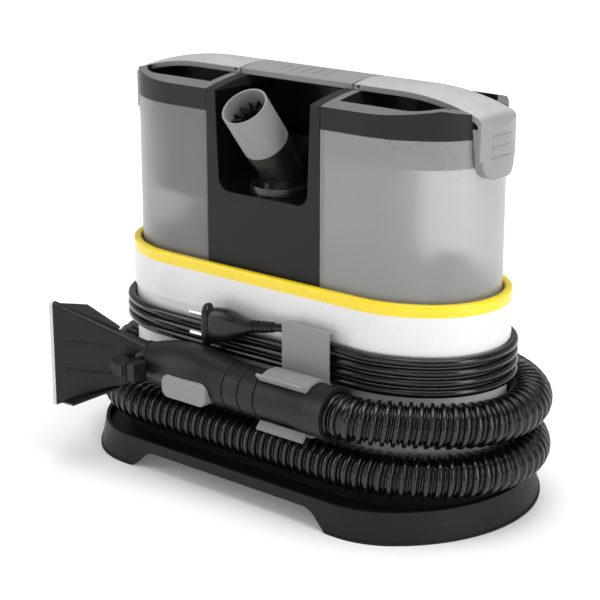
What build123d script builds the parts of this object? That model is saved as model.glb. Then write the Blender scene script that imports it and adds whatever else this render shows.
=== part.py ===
from build123d import *
import math
import os

# Portable carpet cleaner: an oval motor body on a wide foot, two lift-out tanks beside a central
# tower, with its hand tool, suction hose and mains cord stored round the body.
# Millimetres. Origin: centre of the foot on the floor. +X to the clean tank, -Y to the hand tool.

# Driving dimensions ------------------------------------------------------------------------------
clearance = 0.3             # between pieces that only lie beside each other
running_fit = 0.05          # radial, shaft in bore
wall = 2.5                  # moulded walls
thick_wall = 3.0            # foot, tanks and lids

body_length, body_width = 395.0, 155.0
body_shoulder = 100.0
end_turn = 50.0             # degrees of each end arc above and below the long axis
foot_height = 26.8
plinth_offset, plinth_top = 10.0, 35.2
waist_offset = -2.0
body_top = 183.2
deck_top, deck_thickness = 180.5, 3.0
ring_height, ring_width, ring_round = 10.3, 7.0, 2.4
screw_x, screw_inset, screw_radius = 120.0, 10.0, 2.0
screw_y = body_width / 2 - screw_inset

foot_margin_x, foot_margin_y = 22.85, 43.7      # flange beyond the body
rim_inset_x, rim_inset_y = 5.55, 2.6            # rim inside the flange
foot_length, foot_width = body_length + 2 * foot_margin_x, body_width + 2 * foot_margin_y
rim_length, rim_width = foot_length - 2 * rim_inset_x, foot_width - 2 * rim_inset_y
foot_shoulder = 75.0
deck_bottom = 17.0
lip_height = 1.8
arch_half, arch_run, arch_radius, arch_toe = 113.0, 18.0, 20.0, 13.0
foot_pad_radius, foot_pad_height = 10.0, 3.0
foot_pad_inset_x, foot_pad_inset_y = 70.35, 39.2
foot_pad_x, foot_pad_y = foot_length / 2 - foot_pad_inset_x, foot_width / 2 - foot_pad_inset_y

tower_half = 63.3
tower_inset = 8.6
tower_half_depth = body_width / 2 - tower_inset
crown_height, crown_drop = 354.5, 9.0
niche_wall_top, niche_wall_bottom = 8.8, 13.3
niche_half_top, niche_half_bottom = tower_half - niche_wall_top, tower_half - niche_wall_bottom
niche_floor, niche_corner = 258.5, 12.0
niche_back_low, niche_back_high, niche_step = -5.0, 8.0, 302.0
cover_inset, cover_bottom, cover_top = 15.3, 205.0, 325.0
cover_half = tower_half - cover_inset
button_radius, button_travel, button_height = 12.0, 3.0, 3.5
button_spacing, button_drop = 40.0, 28.0

tank_offset = -8.8
tank_end = body_length / 2 + tank_offset
tank_gap = 0.6              # tower to tank
tank_top = 326.5
lid_bottom, lid_side_top = tank_top + clearance, 345.6
lid_slope_length = 58.7
lid_end_start = tank_end - lid_slope_length
grip_inset_y, grip_inset_end, grip_inset_start, grip_shoulder = 14.7, 10.7, 8.7, 30.0
grip_half_width = body_width / 2 + tank_offset - grip_inset_y
grip_end, grip_start = tank_end - grip_inset_end, tower_half + grip_inset_start
grip_floor = 322.0
skirt_bottom, skirt_inset, skirt_thickness = 302.0, 6.0, 2.0
seal_bottom, seal_height = 309.0, 4.0

bar_half_width = 25.0
bar_top, bar_seat, bar_edge_drop = 361.0, 353.4, 3.0
lever_flat_length, lever_arc_drop, lever_overhang = 48.7, 12.5, -1.5
lever_flat_end, lever_arc_end = tower_half + lever_flat_length, tank_end + lever_overhang
flap_bend, flap_tip = 14.0, 294.0
flap_half_top, flap_half_tip, flap_thickness, flap_room = 25.0, 21.0, 14.0, 0.4
pivot_offset, pivot_z = 5.3, 356.4
pivot_x = tower_half + pivot_offset
pin_radius, knuckle_radius, knuckle_half, knuckle_room = 1.4, 2.9, 8.0, 6.7

separator_bottom, separator_inset = 243.0, 9.0
float_x, float_radius, float_height, float_rest, float_travel = -130.0, 13.0, 16.0, 206.0, 12.0
valve_x, valve_radius, valve_height, valve_travel = 150.0, 16.0, 38.0, 5.0

elbow_x, elbow_y = -5.0, -36.0
elbow_radius, elbow_wall = 19.5, 3.5
elbow_bore = elbow_radius - elbow_wall
elbow_flange_radius, elbow_flange_height, elbow_spigot = 28.0, 7.0, 18.0
elbow_bend_z, elbow_tilt, elbow_bend_radius = 277.0, 38.0, 30.0
elbow_band_start, collar_start, collar_end = 24.0, 35.5, 79.0
collar_step, collar_wall = 1.1, 1.8
collar_radius = elbow_radius + collar_step
bristle_count = 14

hose_radius, hose_wall, hose_gap = 19.0, 3.0, 1.0
hose_bore, hose_offset = hose_radius - hose_wall, hose_radius + hose_gap
plinth_clearance, hose_turn_gap = 0.333, 4.2
hose_low = plinth_top + math.sqrt((hose_radius + plinth_clearance) ** 2
                                  - (hose_offset - plinth_offset + waist_offset) ** 2)
hose_high = hose_low + 2 * hose_radius + hose_turn_gap
hose_end_x, socket_depth, socket_reach = 46.0, 22.0, 26.0
first_bend_radius = 74.0

tool_radius, tool_wall = 21.0, 2.2
tool_above_hose, tool_gap = 7.2, 6.0
tool_y = -(body_width / 2 + tool_gap + tool_radius)
tool_z = hose_low + hose_radius + tool_above_hose + tool_radius

cord_diameter, cord_turn_gap, cord_turns = 7.5, 1.3, 4
cord_pitch = cord_diameter + cord_turn_gap
cord_gap, cord_above_hose, cord_below_tool = 1.0, 1.65, 5.35
cord_first = cord_diameter / 2 + max(hose_high + hose_radius + cord_above_hose,
                                     tool_z + tool_radius - cord_below_tool)
cord_last = cord_first + (cord_turns - 1) * cord_pitch
waist_top = cord_last + cord_diameter / 2 + 0.45
grommet_x, grommet_above_waist, grommet_radius = -92.0, 15.0, 7.0
grommet_z = waist_top + grommet_above_waist
spout_length, spout_radius, spout_proud, spout_drop = 6.5, 6.0, 7.0, 0.7
plug_proud, plug_half_thickness, plug_flange_x, plug_drop = 15.1, 6.2, -46.0, 3.5

cuff_start, cuff_end, cuff_step, cuff_flare = 80.3, 112.0, 1.0, 1.6
cuff_radius = tool_radius + cuff_step
cuff_end_radius = cuff_radius + cuff_flare
groove_spacing, groove_first, groove_count = 18.0, 2.0, 3
trigger_x, trigger_drop, trigger_length, trigger_height = -39.5, 8.0, 52.0, 21.0
trigger_z = tool_z - trigger_drop
trigger_proud, trigger_depth, trigger_travel = 5.0, 14.0, 4.5
trigger_front = tool_y - tool_radius - trigger_proud
spring_length, spray_valve_depth = 9.0, 8.0
neck_x = -98.0
neck_step, spigot_step = 4.0, 7.7
collar_neck_radius, spigot_radius = tool_radius - neck_step, tool_radius - spigot_step
fan_turn, fan_length, mouth_height, mouth_gap = 27.0, 97.0, 98.0, 9.0
fan_wall, guard_depth, lip_length = 1.8, 23.0, 3.0
jet_proud, jet_drop, nut_across, nut_length = 7.5, 1.0, 18.0, 12.0
jet_y, jet_z = tool_y - tool_radius - jet_proud, tool_z - jet_drop
jet_bore = 4.5

clip_left, clip_right = 41.0, 91.5
clip_gap, clip_wall, clip_turn = 1.5, 2.5, 125.0
clip_inner = tool_radius + clip_gap
plate_proud, plate_above_waist = 10.9, 12.0
plate_y, plate_top = -(body_width / 2 + plate_proud), waist_top + plate_above_waist
clip_screw_inset = 12.0
bracket_screw_x = (clip_left + clip_screw_inset, clip_right - clip_screw_inset)

motor_x, motor_casing_radius, motor_can_radius = -35.0, 58.0, 42.0
motor_casing_top, motor_top = 88.0, 150.0
shaft_radius, duct_radius = 4.0, 20.0
pump_x, pump_y, pump_length, pump_width, pump_height = 95.0, -18.0, 70.0, 46.0, 50.0
plunger_radius, plunger_travel = 6.0, 2.5
board_x, board_y, board_length, board_width = 98.0, 36.0, 84.0, 50.0

parts = {}


def plan(length, width, shoulder, z=0.0):
    """Closed outline: two straight sides, a shoulder arc beside each and one arc at each end."""
    turn = math.radians(end_turn)
    half = width / 2
    tip = shoulder + (half - shoulder) / math.sin(turn)
    start = length / 2 - tip + (tip - shoulder) * math.cos(turn)

    def on_shoulder(angle):
        return start + shoulder * math.cos(angle), half - shoulder + shoulder * math.sin(angle)

    edges = []
    for sx, sy in ((1, 1), (-1, 1), (-1, -1), (1, -1)):
        arc = [on_shoulder(a) for a in (math.pi / 2, (math.pi / 2 + turn) / 2, turn)]
        edges.append(ThreePointArc(*[(sx * x, sy * y, z) for x, y in arc]))
    x, y = on_shoulder(turn)
    for sx in (1, -1):
        edges.append(ThreePointArc((sx * x, y, z), (sx * length / 2, 0, z), (sx * x, -y, z)))
        edges.append(Line((-start, sx * half, z), (start, sx * half, z)))
    return make_face(edges)


def body_plan(offset, z):
    """The body's outline grown by offset."""
    return plan(body_length + 2 * offset, body_width + 2 * offset, body_shoulder + offset, z)


def slab(offset, bottom, top):
    return extrude(body_plan(offset, bottom), amount=top - bottom, dir=(0, 0, 1))


def box(x0, x1, y0, y1, z0, z1):
    return Pos((x0 + x1) / 2, (y0 + y1) / 2, (z0 + z1) / 2) * Box(x1 - x0, y1 - y0, z1 - z0)


def post(x, y, radius, bottom, top):
    return Pos(x, y, (bottom + top) / 2) * Cylinder(radius, top - bottom)


def along_x(x0, x1, y, z, radius):
    return Pos((x0 + x1) / 2, y, z) * Rot(0, 90, 0) * Cylinder(radius, x1 - x0)


def along_y(x, y0, y1, z, radius):
    return Pos(x, (y0 + y1) / 2, z) * Rot(90, 0, 0) * Cylinder(radius, y1 - y0)


def side_profile(points, radii, y0, y1):
    """A prism along Y from corner points (x, z), each with its corner radius."""
    outline = FilletPolyline(*[(x, 0, z) for x, z in points], radius=radii, close=True)
    face = make_face(outline.edges())
    return Pos(0, y1, 0) * extrude(face, amount=y1 - y0, dir=(0, -1, 0))


def keep(name, shape):
    parts[name] = shape


# Foot --------------------------------------------------------------------------------------------
def foot_plan(inset, z, share=0.0):
    """The foot's outline at height z; share runs from the flange (0) to the rim (1)."""
    length = foot_length + (rim_length - foot_length) * share
    width = foot_width + (rim_width - foot_width) * share
    return plan(length - 2 * inset, width - 2 * inset, foot_shoulder - inset, z)


def foot_wall(inset, z0, z1):
    low, high = z0 / foot_height, z1 / foot_height
    return loft([foot_plan(inset, z0, low), foot_plan(inset, z1, high)], ruled=True)


def foot_screw_places():
    return [(x, s * screw_y) for s in (1, -1) for x in (-screw_x, 0, screw_x)]


def base_tray():
    deck_level = deck_bottom + thick_wall
    tray = foot_wall(0, 0, foot_height) - foot_wall(thick_wall, 0, deck_bottom)
    tray -= foot_wall(thick_wall, deck_level, foot_height)
    lip = extrude(foot_plan(-0.8, 0), amount=lip_height) - extrude(foot_plan(1.5, 0), amount=lip_height)
    tray += lip
    tray += slab(plinth_offset, deck_bottom, plinth_top)
    tray -= slab(plinth_offset - thick_wall, deck_bottom, plinth_top - thick_wall)
    tray -= side_profile(
        [(-arch_half - arch_toe, -9), (-arch_half - arch_toe, -0.02), (-arch_half, -0.02),
         (-arch_half + arch_run, deck_bottom), (arch_half - arch_run, deck_bottom),
         (arch_half, -0.02), (arch_half + arch_toe, -0.02), (arch_half + arch_toe, -9)],
        [0.5, 0.5, arch_toe, arch_radius, arch_radius, arch_toe, 0.5, 0.5],
        -foot_width, -foot_width / 2 + 4 * thick_wall)
    for x in (-foot_pad_x, foot_pad_x):
        for y in (-foot_pad_y, foot_pad_y):
            tray += post(x, y, foot_pad_radius + 2, foot_pad_height, deck_bottom + 1)
            tray += post(x, y, foot_pad_radius + 2, 0.3, foot_pad_height + 0.1)
            tray -= post(x, y, foot_pad_radius, -1, foot_pad_height)
    for x, y in foot_screw_places():
        tray -= post(x, y, screw_radius + clearance, plinth_top - 2 * thick_wall, plinth_top + 1)
    keep("base_tray", tray)

    feet = [post(x, y, foot_pad_radius, 0, foot_pad_height)
            for x in (-foot_pad_x, foot_pad_x) for y in (-foot_pad_y, foot_pad_y)]
    keep("rubber_feet", Compound(children=feet))

    head_top = plinth_top - thick_wall
    screws = [post(x, y, screw_radius, head_top - 1, plinth_top + 12)
              + post(x, y, 2 * screw_radius, head_top - 3, head_top) for x, y in foot_screw_places()]
    keep("base_screws", Compound(children=screws))


# Body and tower ----------------------------------------------------------------------------------
def body_shell():
    deck_bottom_z = deck_top - deck_thickness
    shell = slab(waist_offset, plinth_top, waist_top) + slab(0, waist_top, body_top)
    shell -= slab(waist_offset - wall, plinth_top, deck_bottom_z)
    shell -= slab(tank_offset + 0.5, deck_top, body_top)
    inner = body_width / 2 + waist_offset - wall
    for x, y in foot_screw_places():
        boss = post(x, y, 2.6 * screw_radius, plinth_top, plinth_top + 22)
        boss &= slab(waist_offset - 0.5, plinth_top, plinth_top + 22)
        rib = box(x - 1.5, x + 1.5, min(y, math.copysign(inner, y)), max(y, math.copysign(inner, y)),
                  plinth_top, plinth_top + 22)
        shell += boss + rib
        shell -= post(x, y, screw_radius, plinth_top - 1, plinth_top + 12)
    shell -= post(motor_x, 0, duct_radius + clearance, deck_bottom_z - 1, deck_top + 1)
    shell -= post(valve_x, 0, valve_radius - 4, deck_bottom_z - 1, deck_top + 1)
    shell -= Pos(grommet_x, body_width / 2, grommet_z) * Rot(90, 0, 0) * Cylinder(grommet_radius, 24)
    for x in bracket_screw_x:
        shell -= along_y(x, -body_width / 2 - 2, -body_width / 2 + 8, tool_z, screw_radius)
    shell -= Pos(0, body_width / 2, hose_low) * Rot(90, 0, 0) * Cylinder(hose_bore - 2, 24)
    keep("body_shell", shell)


def trim_ring():
    ring = slab(0, body_top, body_top + ring_height)
    ring -= slab(-ring_width, body_top, body_top + ring_height)
    ring = fillet(ring.faces().sort_by(Axis.Z)[-1].edges(), ring_round)
    keep("trim_ring", ring)


def crown_radius(height_drop, half):
    return (half ** 2 + height_drop ** 2) / (2 * height_drop)


def crown_block(drop=0.0):
    """Everything under the arched roof line, which falls from the middle to the front and back."""
    radius = crown_radius(crown_drop, tower_half_depth)
    top = crown_height - drop
    return along_x(-250, 250, 0, top - radius, radius)


def end_block(drop=0.0):
    """Everything under the roof line as it falls towards both ends."""
    run = lid_slope_length
    radius = crown_radius(crown_drop, run)
    top = crown_height - drop
    shape = box(-lid_end_start, lid_end_start, -90, 90, top - 2 * radius, top)
    for side in (1, -1):
        shape += along_y(side * lid_end_start, -90, 90, top - radius, radius)
    return shape


def niche(grow=0.0):
    """The recess for the elbow, open at the front and top, deeper above its step."""
    top = crown_height + 20
    half_low, half_high = niche_half_bottom + grow, niche_half_top + grow
    points = [(-half_high, top), (-half_low, niche_floor - grow), (half_low, niche_floor - grow),
              (half_high, top)]
    radii = [0.5, niche_corner, niche_corner, 0.5]
    low = side_profile(points, radii, -tower_half_depth - 5, niche_back_low + grow)
    high = side_profile(points, radii, -tower_half_depth - 5, niche_back_high + grow)
    high &= box(-80, 80, -90, 90, niche_step - grow, top + 1)
    return low + high


def tower():
    body = box(-tower_half, tower_half, -tower_half_depth, tower_half_depth, deck_top, crown_height + 2)
    body &= crown_block()
    body -= niche()
    seat = box(-80, 80, -bar_half_width - clearance, bar_half_width + clearance, bar_seat, bar_seat + 20)
    body -= seat
    inner = box(-tower_half + wall, tower_half - wall, -tower_half_depth + wall,
                tower_half_depth - wall, deck_top + wall, lid_side_top - 4)
    inner -= niche(wall)
    body -= inner
    socket = elbow_radius - 2 + clearance
    body += post(elbow_x, elbow_y, socket + wall, niche_floor - elbow_spigot - 4, niche_floor)
    body -= post(elbow_x, elbow_y, socket, niche_floor - elbow_spigot - 5, niche_floor + 1)
    body -= box(-cover_half + 6, cover_half - 6, tower_half_depth - 10, tower_half_depth + 5,
                cover_bottom + 6, cover_top - 6)
    body -= box(-cover_half - clearance, cover_half + clearance, tower_half_depth - wall / 2,
                tower_half_depth + 5, cover_bottom - clearance, cover_top + clearance)
    for x, z in cover_screw_places():
        body -= along_y(x, tower_half_depth - 10, tower_half_depth + 1, z, screw_radius / 2)
    keep("tower_housing", body)


def cover_screw_places():
    return [(x, z) for x in (-cover_half + 3, cover_half - 3) for z in (cover_bottom + 3, cover_top - 3)]


def button_places():
    return [(-button_spacing / 2, cover_top - button_drop), (button_spacing / 2, cover_top - button_drop)]


def back_cover():
    front = tower_half_depth - wall / 2
    cover = box(-cover_half, cover_half, front, front + wall, cover_bottom, cover_top)
    cover = fillet(cover.edges().filter_by(Axis.Y), 4.0)
    for x, z in button_places():
        cover += along_y(x, front - 8, front + 0.5, z, button_radius + 2)
        cover -= along_y(x, front - 9, front + wall + 1, z, button_radius + running_fit)
    for i in range(7):
        z = cover_bottom + 16 + 8 * i
        cover -= box(-cover_half + 14, cover_half - 14, front - 1, front + wall + 1, z, z + 4)
    for x, z in cover_screw_places():
        cover -= along_y(x, front - 1, front + wall + 1, z, screw_radius / 2)
    keep("tower_back_cover", cover)
    heads = [along_y(x, front - 6, front + wall, z, screw_radius / 2)
             + along_y(x, front + wall, front + wall + 1, z, screw_radius)
             for x, z in cover_screw_places()]
    keep("back_cover_screws", Compound(children=heads))

    for (x, z), name in zip(button_places(), ("suction_button", "spray_button")):
        cap = along_y(x, front - 5, front + wall + button_height, z, button_radius)
        cap = fillet(cap.faces().sort_by(Axis.Y)[-1].edges(), 1.2)
        keep(name, cap)


def bar_section(x, half=bar_half_width, thick=bar_top - bar_seat):
    """The handle's cross-section on the plane at x: flat below, arched on top."""
    top, edge = bar_top, bar_top - bar_edge_drop
    outline = [Line((x, -half, bar_top - thick), (x, half, bar_top - thick)),
               Line((x, half, bar_top - thick), (x, half, edge)),
               ThreePointArc((x, half, edge), (x, 0, top), (x, -half, edge)),
               Line((x, -half, edge), (x, -half, bar_top - thick))]
    return make_face(outline)


def centre_handle():
    half = tower_half - 0.1
    bar = extrude(bar_section(-half), amount=2 * half, dir=(1, 0, 0))
    for side in (1, -1):
        bar -= along_y(side * pivot_x, -30, 30, pivot_z, knuckle_room)
    for i in range(5):
        groove = Cylinder(30, 3) - Cylinder(28.9, 4)
        groove &= Pos(29.5, 0, 0) * Box(6, 22, 4)
        bar -= Pos(-25 - 29.5 + 12.5 * i, -8, bar_top) * groove
    keep("centre_handle", bar)


# Tanks and lids ----------------------------------------------------------------------------------
def tank_plan(inset, side, z):
    near, far = tower_half + tank_gap + inset, body_length
    window = Pos(side * (near + far) / 2, 0, z) * Rectangle(far - near, body_width * 2)
    return body_plan(tank_offset - inset, z) & window


def tank_block(inset, side, bottom, top):
    return extrude(tank_plan(inset, side, bottom), amount=top - bottom, dir=(0, 0, 1))


def tank(side):
    bottom = deck_top + clearance
    shell = tank_block(0, side, bottom, tank_top)
    return shell - tank_block(thick_wall, side, bottom + thick_wall, tank_top)


def grip_block(grow, bottom, top):
    """The finger recess under a lever: an oval cut short at the tower's side."""
    face = plan(2 * (grip_end + grow), 2 * (grip_half_width + grow), grip_shoulder + grow, bottom)
    return extrude(face, amount=top - bottom, dir=(0, 0, 1))


def lid(side):
    block = tank_block(0, side, lid_bottom, crown_height + 1) & crown_block() & end_block()
    near, reach = tower_half + tank_gap, body_length
    inner_cut = box(grip_start, reach, -90, 90, 0, 400)
    tub_cut = box(grip_start - thick_wall, reach, -90, 90, 0, 400)
    if side < 0:
        inner_cut, tub_cut = mirror(inner_cut, Plane.YZ), mirror(tub_cut, Plane.YZ)
    block -= tank_block(thick_wall, side, lid_bottom + thick_wall, lid_side_top - 5)
    block -= tank_block(skirt_inset + skirt_thickness, side, lid_bottom - 1, lid_bottom + thick_wall + 1)
    block += tank_block(skirt_inset, side, skirt_bottom, lid_bottom) - tank_block(
        skirt_inset + skirt_thickness, side, skirt_bottom, lid_bottom)
    block += grip_block(thick_wall, grip_floor - thick_wall, lid_side_top - 4) & tub_cut
    block -= grip_block(0, grip_floor, crown_height + 5) & inner_cut
    route = lever_route(near - 1)[0]
    seat = sweep(bar_section(near - 1, bar_half_width + clearance, bar_top - bar_seat + 0.4), path=route)
    for lift in (0, 5):                 # the roof stays clear above the lever's edges too
        block -= Pos(0, 0, lift) * (seat if side > 0 else mirror(seat, Plane.YZ))
    block -= along_y(side * pivot_x, -bar_half_width - clearance, bar_half_width + clearance,
                     pivot_z, knuckle_room)
    stem = box(pivot_x - knuckle_radius, pivot_x + knuckle_radius, -knuckle_half, knuckle_half,
               lid_side_top - 6, pivot_z)
    if side < 0:
        stem = mirror(stem, Plane.YZ)
    block += stem + along_y(side * pivot_x, -knuckle_half, knuckle_half, pivot_z, knuckle_radius)
    return block - along_y(side * pivot_x, -20, 20, pivot_z, pin_radius)


def lever_route(near):
    """The line along the lever's top: level, then falling, then bent down into the flap."""
    radius = crown_radius(lever_arc_drop, lever_arc_end - lever_flat_end)
    end = Vector(lever_arc_end, 0, bar_top - lever_arc_drop)
    mid_x = (lever_flat_end + lever_arc_end) / 2
    mid_drop = radius - math.sqrt(radius ** 2 - (mid_x - lever_flat_end) ** 2)
    slope = math.asin((lever_arc_end - lever_flat_end) / radius)
    turn = math.pi / 2 - slope
    bend_x = end.X + flap_bend * (math.sin(slope + turn) - math.sin(slope))
    bend_z = end.Z - flap_bend * (math.cos(slope) - math.cos(slope + turn))
    half_x = end.X + flap_bend * (math.sin(slope + turn / 2) - math.sin(slope))
    half_z = end.Z - flap_bend * (math.cos(slope) - math.cos(slope + turn / 2))
    route = Wire([Line((near, 0, bar_top), (lever_flat_end, 0, bar_top)).edge(),
                  ThreePointArc((lever_flat_end, 0, bar_top), (mid_x, 0, bar_top - mid_drop),
                                (end.X, 0, end.Z)).edge(),
                  ThreePointArc((end.X, 0, end.Z), (half_x, 0, half_z), (bend_x, 0, bend_z)).edge(),
                  Line((bend_x, 0, bend_z), (bend_x, 0, flap_tip + 15)).edge()])
    return route, bend_x, bend_z


def lever(side):
    """Strap over the lid, turned down into a flap at the tank's end."""
    near = tower_half + tank_gap + 0.1
    route, bend_x, bend_z = lever_route(near)
    strap = sweep(bar_section(near), path=route)
    points = [(-flap_half_top, bend_z), (flap_half_top, bend_z),
              (flap_half_tip, flap_tip), (-flap_half_tip, flap_tip)]
    outline = FilletPolyline(*[(bend_x, y, z) for y, z in points], radius=[0.5, 0.5, 13, 13], close=True)
    flap = extrude(make_face(outline.edges()), amount=flap_thickness, dir=(-1, 0, 0))
    flap -= extrude(body_plan(tank_offset + flap_room, flap_tip - 1), amount=60, dir=(0, 0, 1))
    flap_face = tank_offset + bend_x - tank_end
    bar = (strap + flap) & extrude(body_plan(flap_face, flap_tip - 1), amount=90, dir=(0, 0, 1))
    for i in range(3):
        z = flap_tip + 17 + 8.8 * i
        rib = extrude(body_plan(flap_face + 0.7, z - 0.8), amount=1.6, dir=(0, 0, 1))
        bar += rib & box(tank_end + 2, body_length, -13, 13, z - 2, z + 2)
    bar -= along_y(pivot_x, -bar_half_width - 1, bar_half_width + 1, pivot_z, pin_radius + running_fit)
    slot = along_y(pivot_x, -knuckle_half - clearance, knuckle_half + clearance, pivot_z,
                   knuckle_radius + clearance)
    slot += box(near - 1, pivot_x + knuckle_radius + clearance, -knuckle_half - clearance,
                knuckle_half + clearance, bar_seat - 1, pivot_z)
    slot += box(near - 1, pivot_x, -knuckle_half - clearance,
                knuckle_half + clearance, pivot_z - 1, pivot_z + knuckle_radius + clearance)
    bar -= slot
    return bar if side > 0 else mirror(bar, Plane.YZ)


def tanks():
    for side, name in ((-1, "waste"), (1, "clean")):
        shell = tank(side)
        if side > 0:
            shell -= post(valve_x, 0, valve_radius - 4, deck_top - 1, deck_top + 5)
        keep(name + "_tank", shell)
        keep(name + "_lid", lid(side))
        seal = tank_block(thick_wall + clearance, side, seal_bottom, seal_bottom + seal_height)
        seal -= tank_block(skirt_inset, side, seal_bottom, seal_bottom + seal_height)
        keep(name + "_lid_seal", seal)
        keep(name + "_lever", lever(side))
        keep(name + "_lever_pin", along_y(side * pivot_x, -18, 18, pivot_z, pin_radius))


def waste_separator():
    top = grip_floor - thick_wall
    chamber = tank_block(separator_inset, -1, separator_bottom, top)
    chamber = fillet(chamber.faces().sort_by(Axis.Z)[0].edges(), 8.0)
    chamber -= tank_block(separator_inset + 2, -1, separator_bottom + 10, top)
    chamber -= post(float_x, 0, float_radius + 4, separator_bottom - 1, separator_bottom + 12)
    keep("waste_separator", chamber)

    outer, bottom = float_radius + 3, float_rest - 4
    cage = post(float_x, 0, outer, bottom, separator_bottom) - post(
        float_x, 0, outer - 2, bottom + 3, separator_bottom)
    for turn in (0, 60, 120):
        cut = Pos(float_x, 0, (bottom + separator_bottom) / 2) * Rot(0, 0, turn) * Box(60, 10, 28)
        cage -= cut
    keep("float_cage", cage)
    keep("float", post(float_x, 0, float_radius, float_rest, float_rest + float_height))


def outlet_valve():
    bottom = deck_top + clearance + thick_wall
    top = bottom + valve_height
    dome = post(valve_x, 0, valve_radius, bottom, top)
    dome = fillet(dome.faces().sort_by(Axis.Z)[-1].edges(), 6.0)
    dome -= post(valve_x, 0, valve_radius - 2, bottom, top - 3)
    for turn in range(0, 180, 30):
        dome -= Pos(valve_x, 0, bottom + 18) * Rot(0, 0, turn) * Box(60, 3, 18)
    dome += post(valve_x, 0, 5, top - 14, top - 2) - post(valve_x, 0, 3 + running_fit, top - 15, top - 3)
    keep("outlet_filter", dome)
    plunger = post(valve_x, 0, valve_radius - 5, bottom + 0.3, bottom + 3)
    plunger += post(valve_x, 0, 3, bottom + 2, top - 3 - valve_travel - 1)
    plunger += post(valve_x, 0, 6, deck_top + clearance + 0.2, bottom + 1)
    keep("outlet_plunger", plunger)
    spring = post(valve_x, 0, 8, bottom + 3, top - 14) - post(valve_x, 0, 6, bottom + 3, top - 14)
    keep("outlet_spring", spring)


# Elbow in the niche ------------------------------------------------------------------------------
def elbow():
    tilt = math.radians(elbow_tilt)
    reach = Vector(0, -math.sin(tilt), math.cos(tilt))
    bend = Vector(elbow_x, elbow_y, elbow_bend_z)
    floor = niche_floor + clearance

    def tilted(start, end, radius):
        middle = bend + reach * ((start + end) / 2)
        return Pos(middle.X, middle.Y, middle.Z) * Rot(elbow_tilt, 0, 0) * Cylinder(radius, end - start)

    route = FilletPolyline((elbow_x, elbow_y, floor), bend, bend + reach * collar_start,
                           radius=elbow_bend_radius)
    pipe = sweep(Pos(elbow_x, elbow_y, floor) * Circle(elbow_radius), path=route)
    pipe += tilted(elbow_band_start, collar_start, collar_radius)
    pipe += post(elbow_x, elbow_y, elbow_flange_radius, floor, floor + elbow_flange_height)
    pipe += post(elbow_x, elbow_y, elbow_radius - 2, floor - elbow_spigot, floor + 1)
    pipe -= sweep(Pos(elbow_x, elbow_y, floor) * Circle(elbow_bore), path=route)
    pipe -= post(elbow_x, elbow_y, elbow_radius - 5, floor - elbow_spigot - 1, floor + 1)
    keep("elbow_pipe", pipe)

    collar = tilted(collar_start, collar_end, collar_radius)
    collar -= tilted(collar_start + 3, collar_end + 1, collar_radius - collar_wall)
    collar -= tilted(collar_start - 1, collar_start + 4, elbow_bore)
    keep("elbow_collar", collar)

    inner = collar_radius - collar_wall
    brush = tilted(collar_start + 3, collar_start + 8, inner) - tilted(
        collar_start + 2, collar_start + 9, elbow_bore - 7)
    for i in range(bristle_count):
        fin = Rot(0, 0, 360 / bristle_count * i) * Pos((inner + 8) / 2, 0, 0) * Box(inner - 8.5, 1.4, 24)
        middle = bend + reach * (collar_start + 19)
        brush += Pos(middle.X, middle.Y, middle.Z) * Rot(elbow_tilt, 0, 0) * fin
    keep("brush_insert", brush)

    seal = post(elbow_x, elbow_y, elbow_radius + 3.5, niche_floor, niche_floor + clearance)
    seal -= post(elbow_x, elbow_y, elbow_radius - 1.5, niche_floor - 1, niche_floor + 1)
    keep("socket_seal", seal)


# Hand tool ---------------------------------------------------------------------------------------
def grip_stations():
    """The handle's stations along X: position, half width, half height and centre height."""
    straight = tool_radius
    return [(cuff_start - clearance, straight, straight, tool_z), (0.0, straight, straight, tool_z),
            (-25.0, straight + 1.5, straight + 2.5, tool_z + 1), (-60.0, straight + 2, straight + 4, tool_z + 1),
            (-84.0, straight - 2, straight, tool_z + 1), (neck_x, straight - 5, straight - 3, tool_z)]


def grip_form(inset):
    faces = []
    for x, half_width, half_height, z in grip_stations():
        plane = Plane(origin=(x, tool_y, z), x_dir=(0, 1, 0), z_dir=(-1, 0, 0))
        faces.append(plane * Ellipse(half_width - inset, half_height - inset))
    return loft(faces[:2]) + loft(faces[1:])


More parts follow.
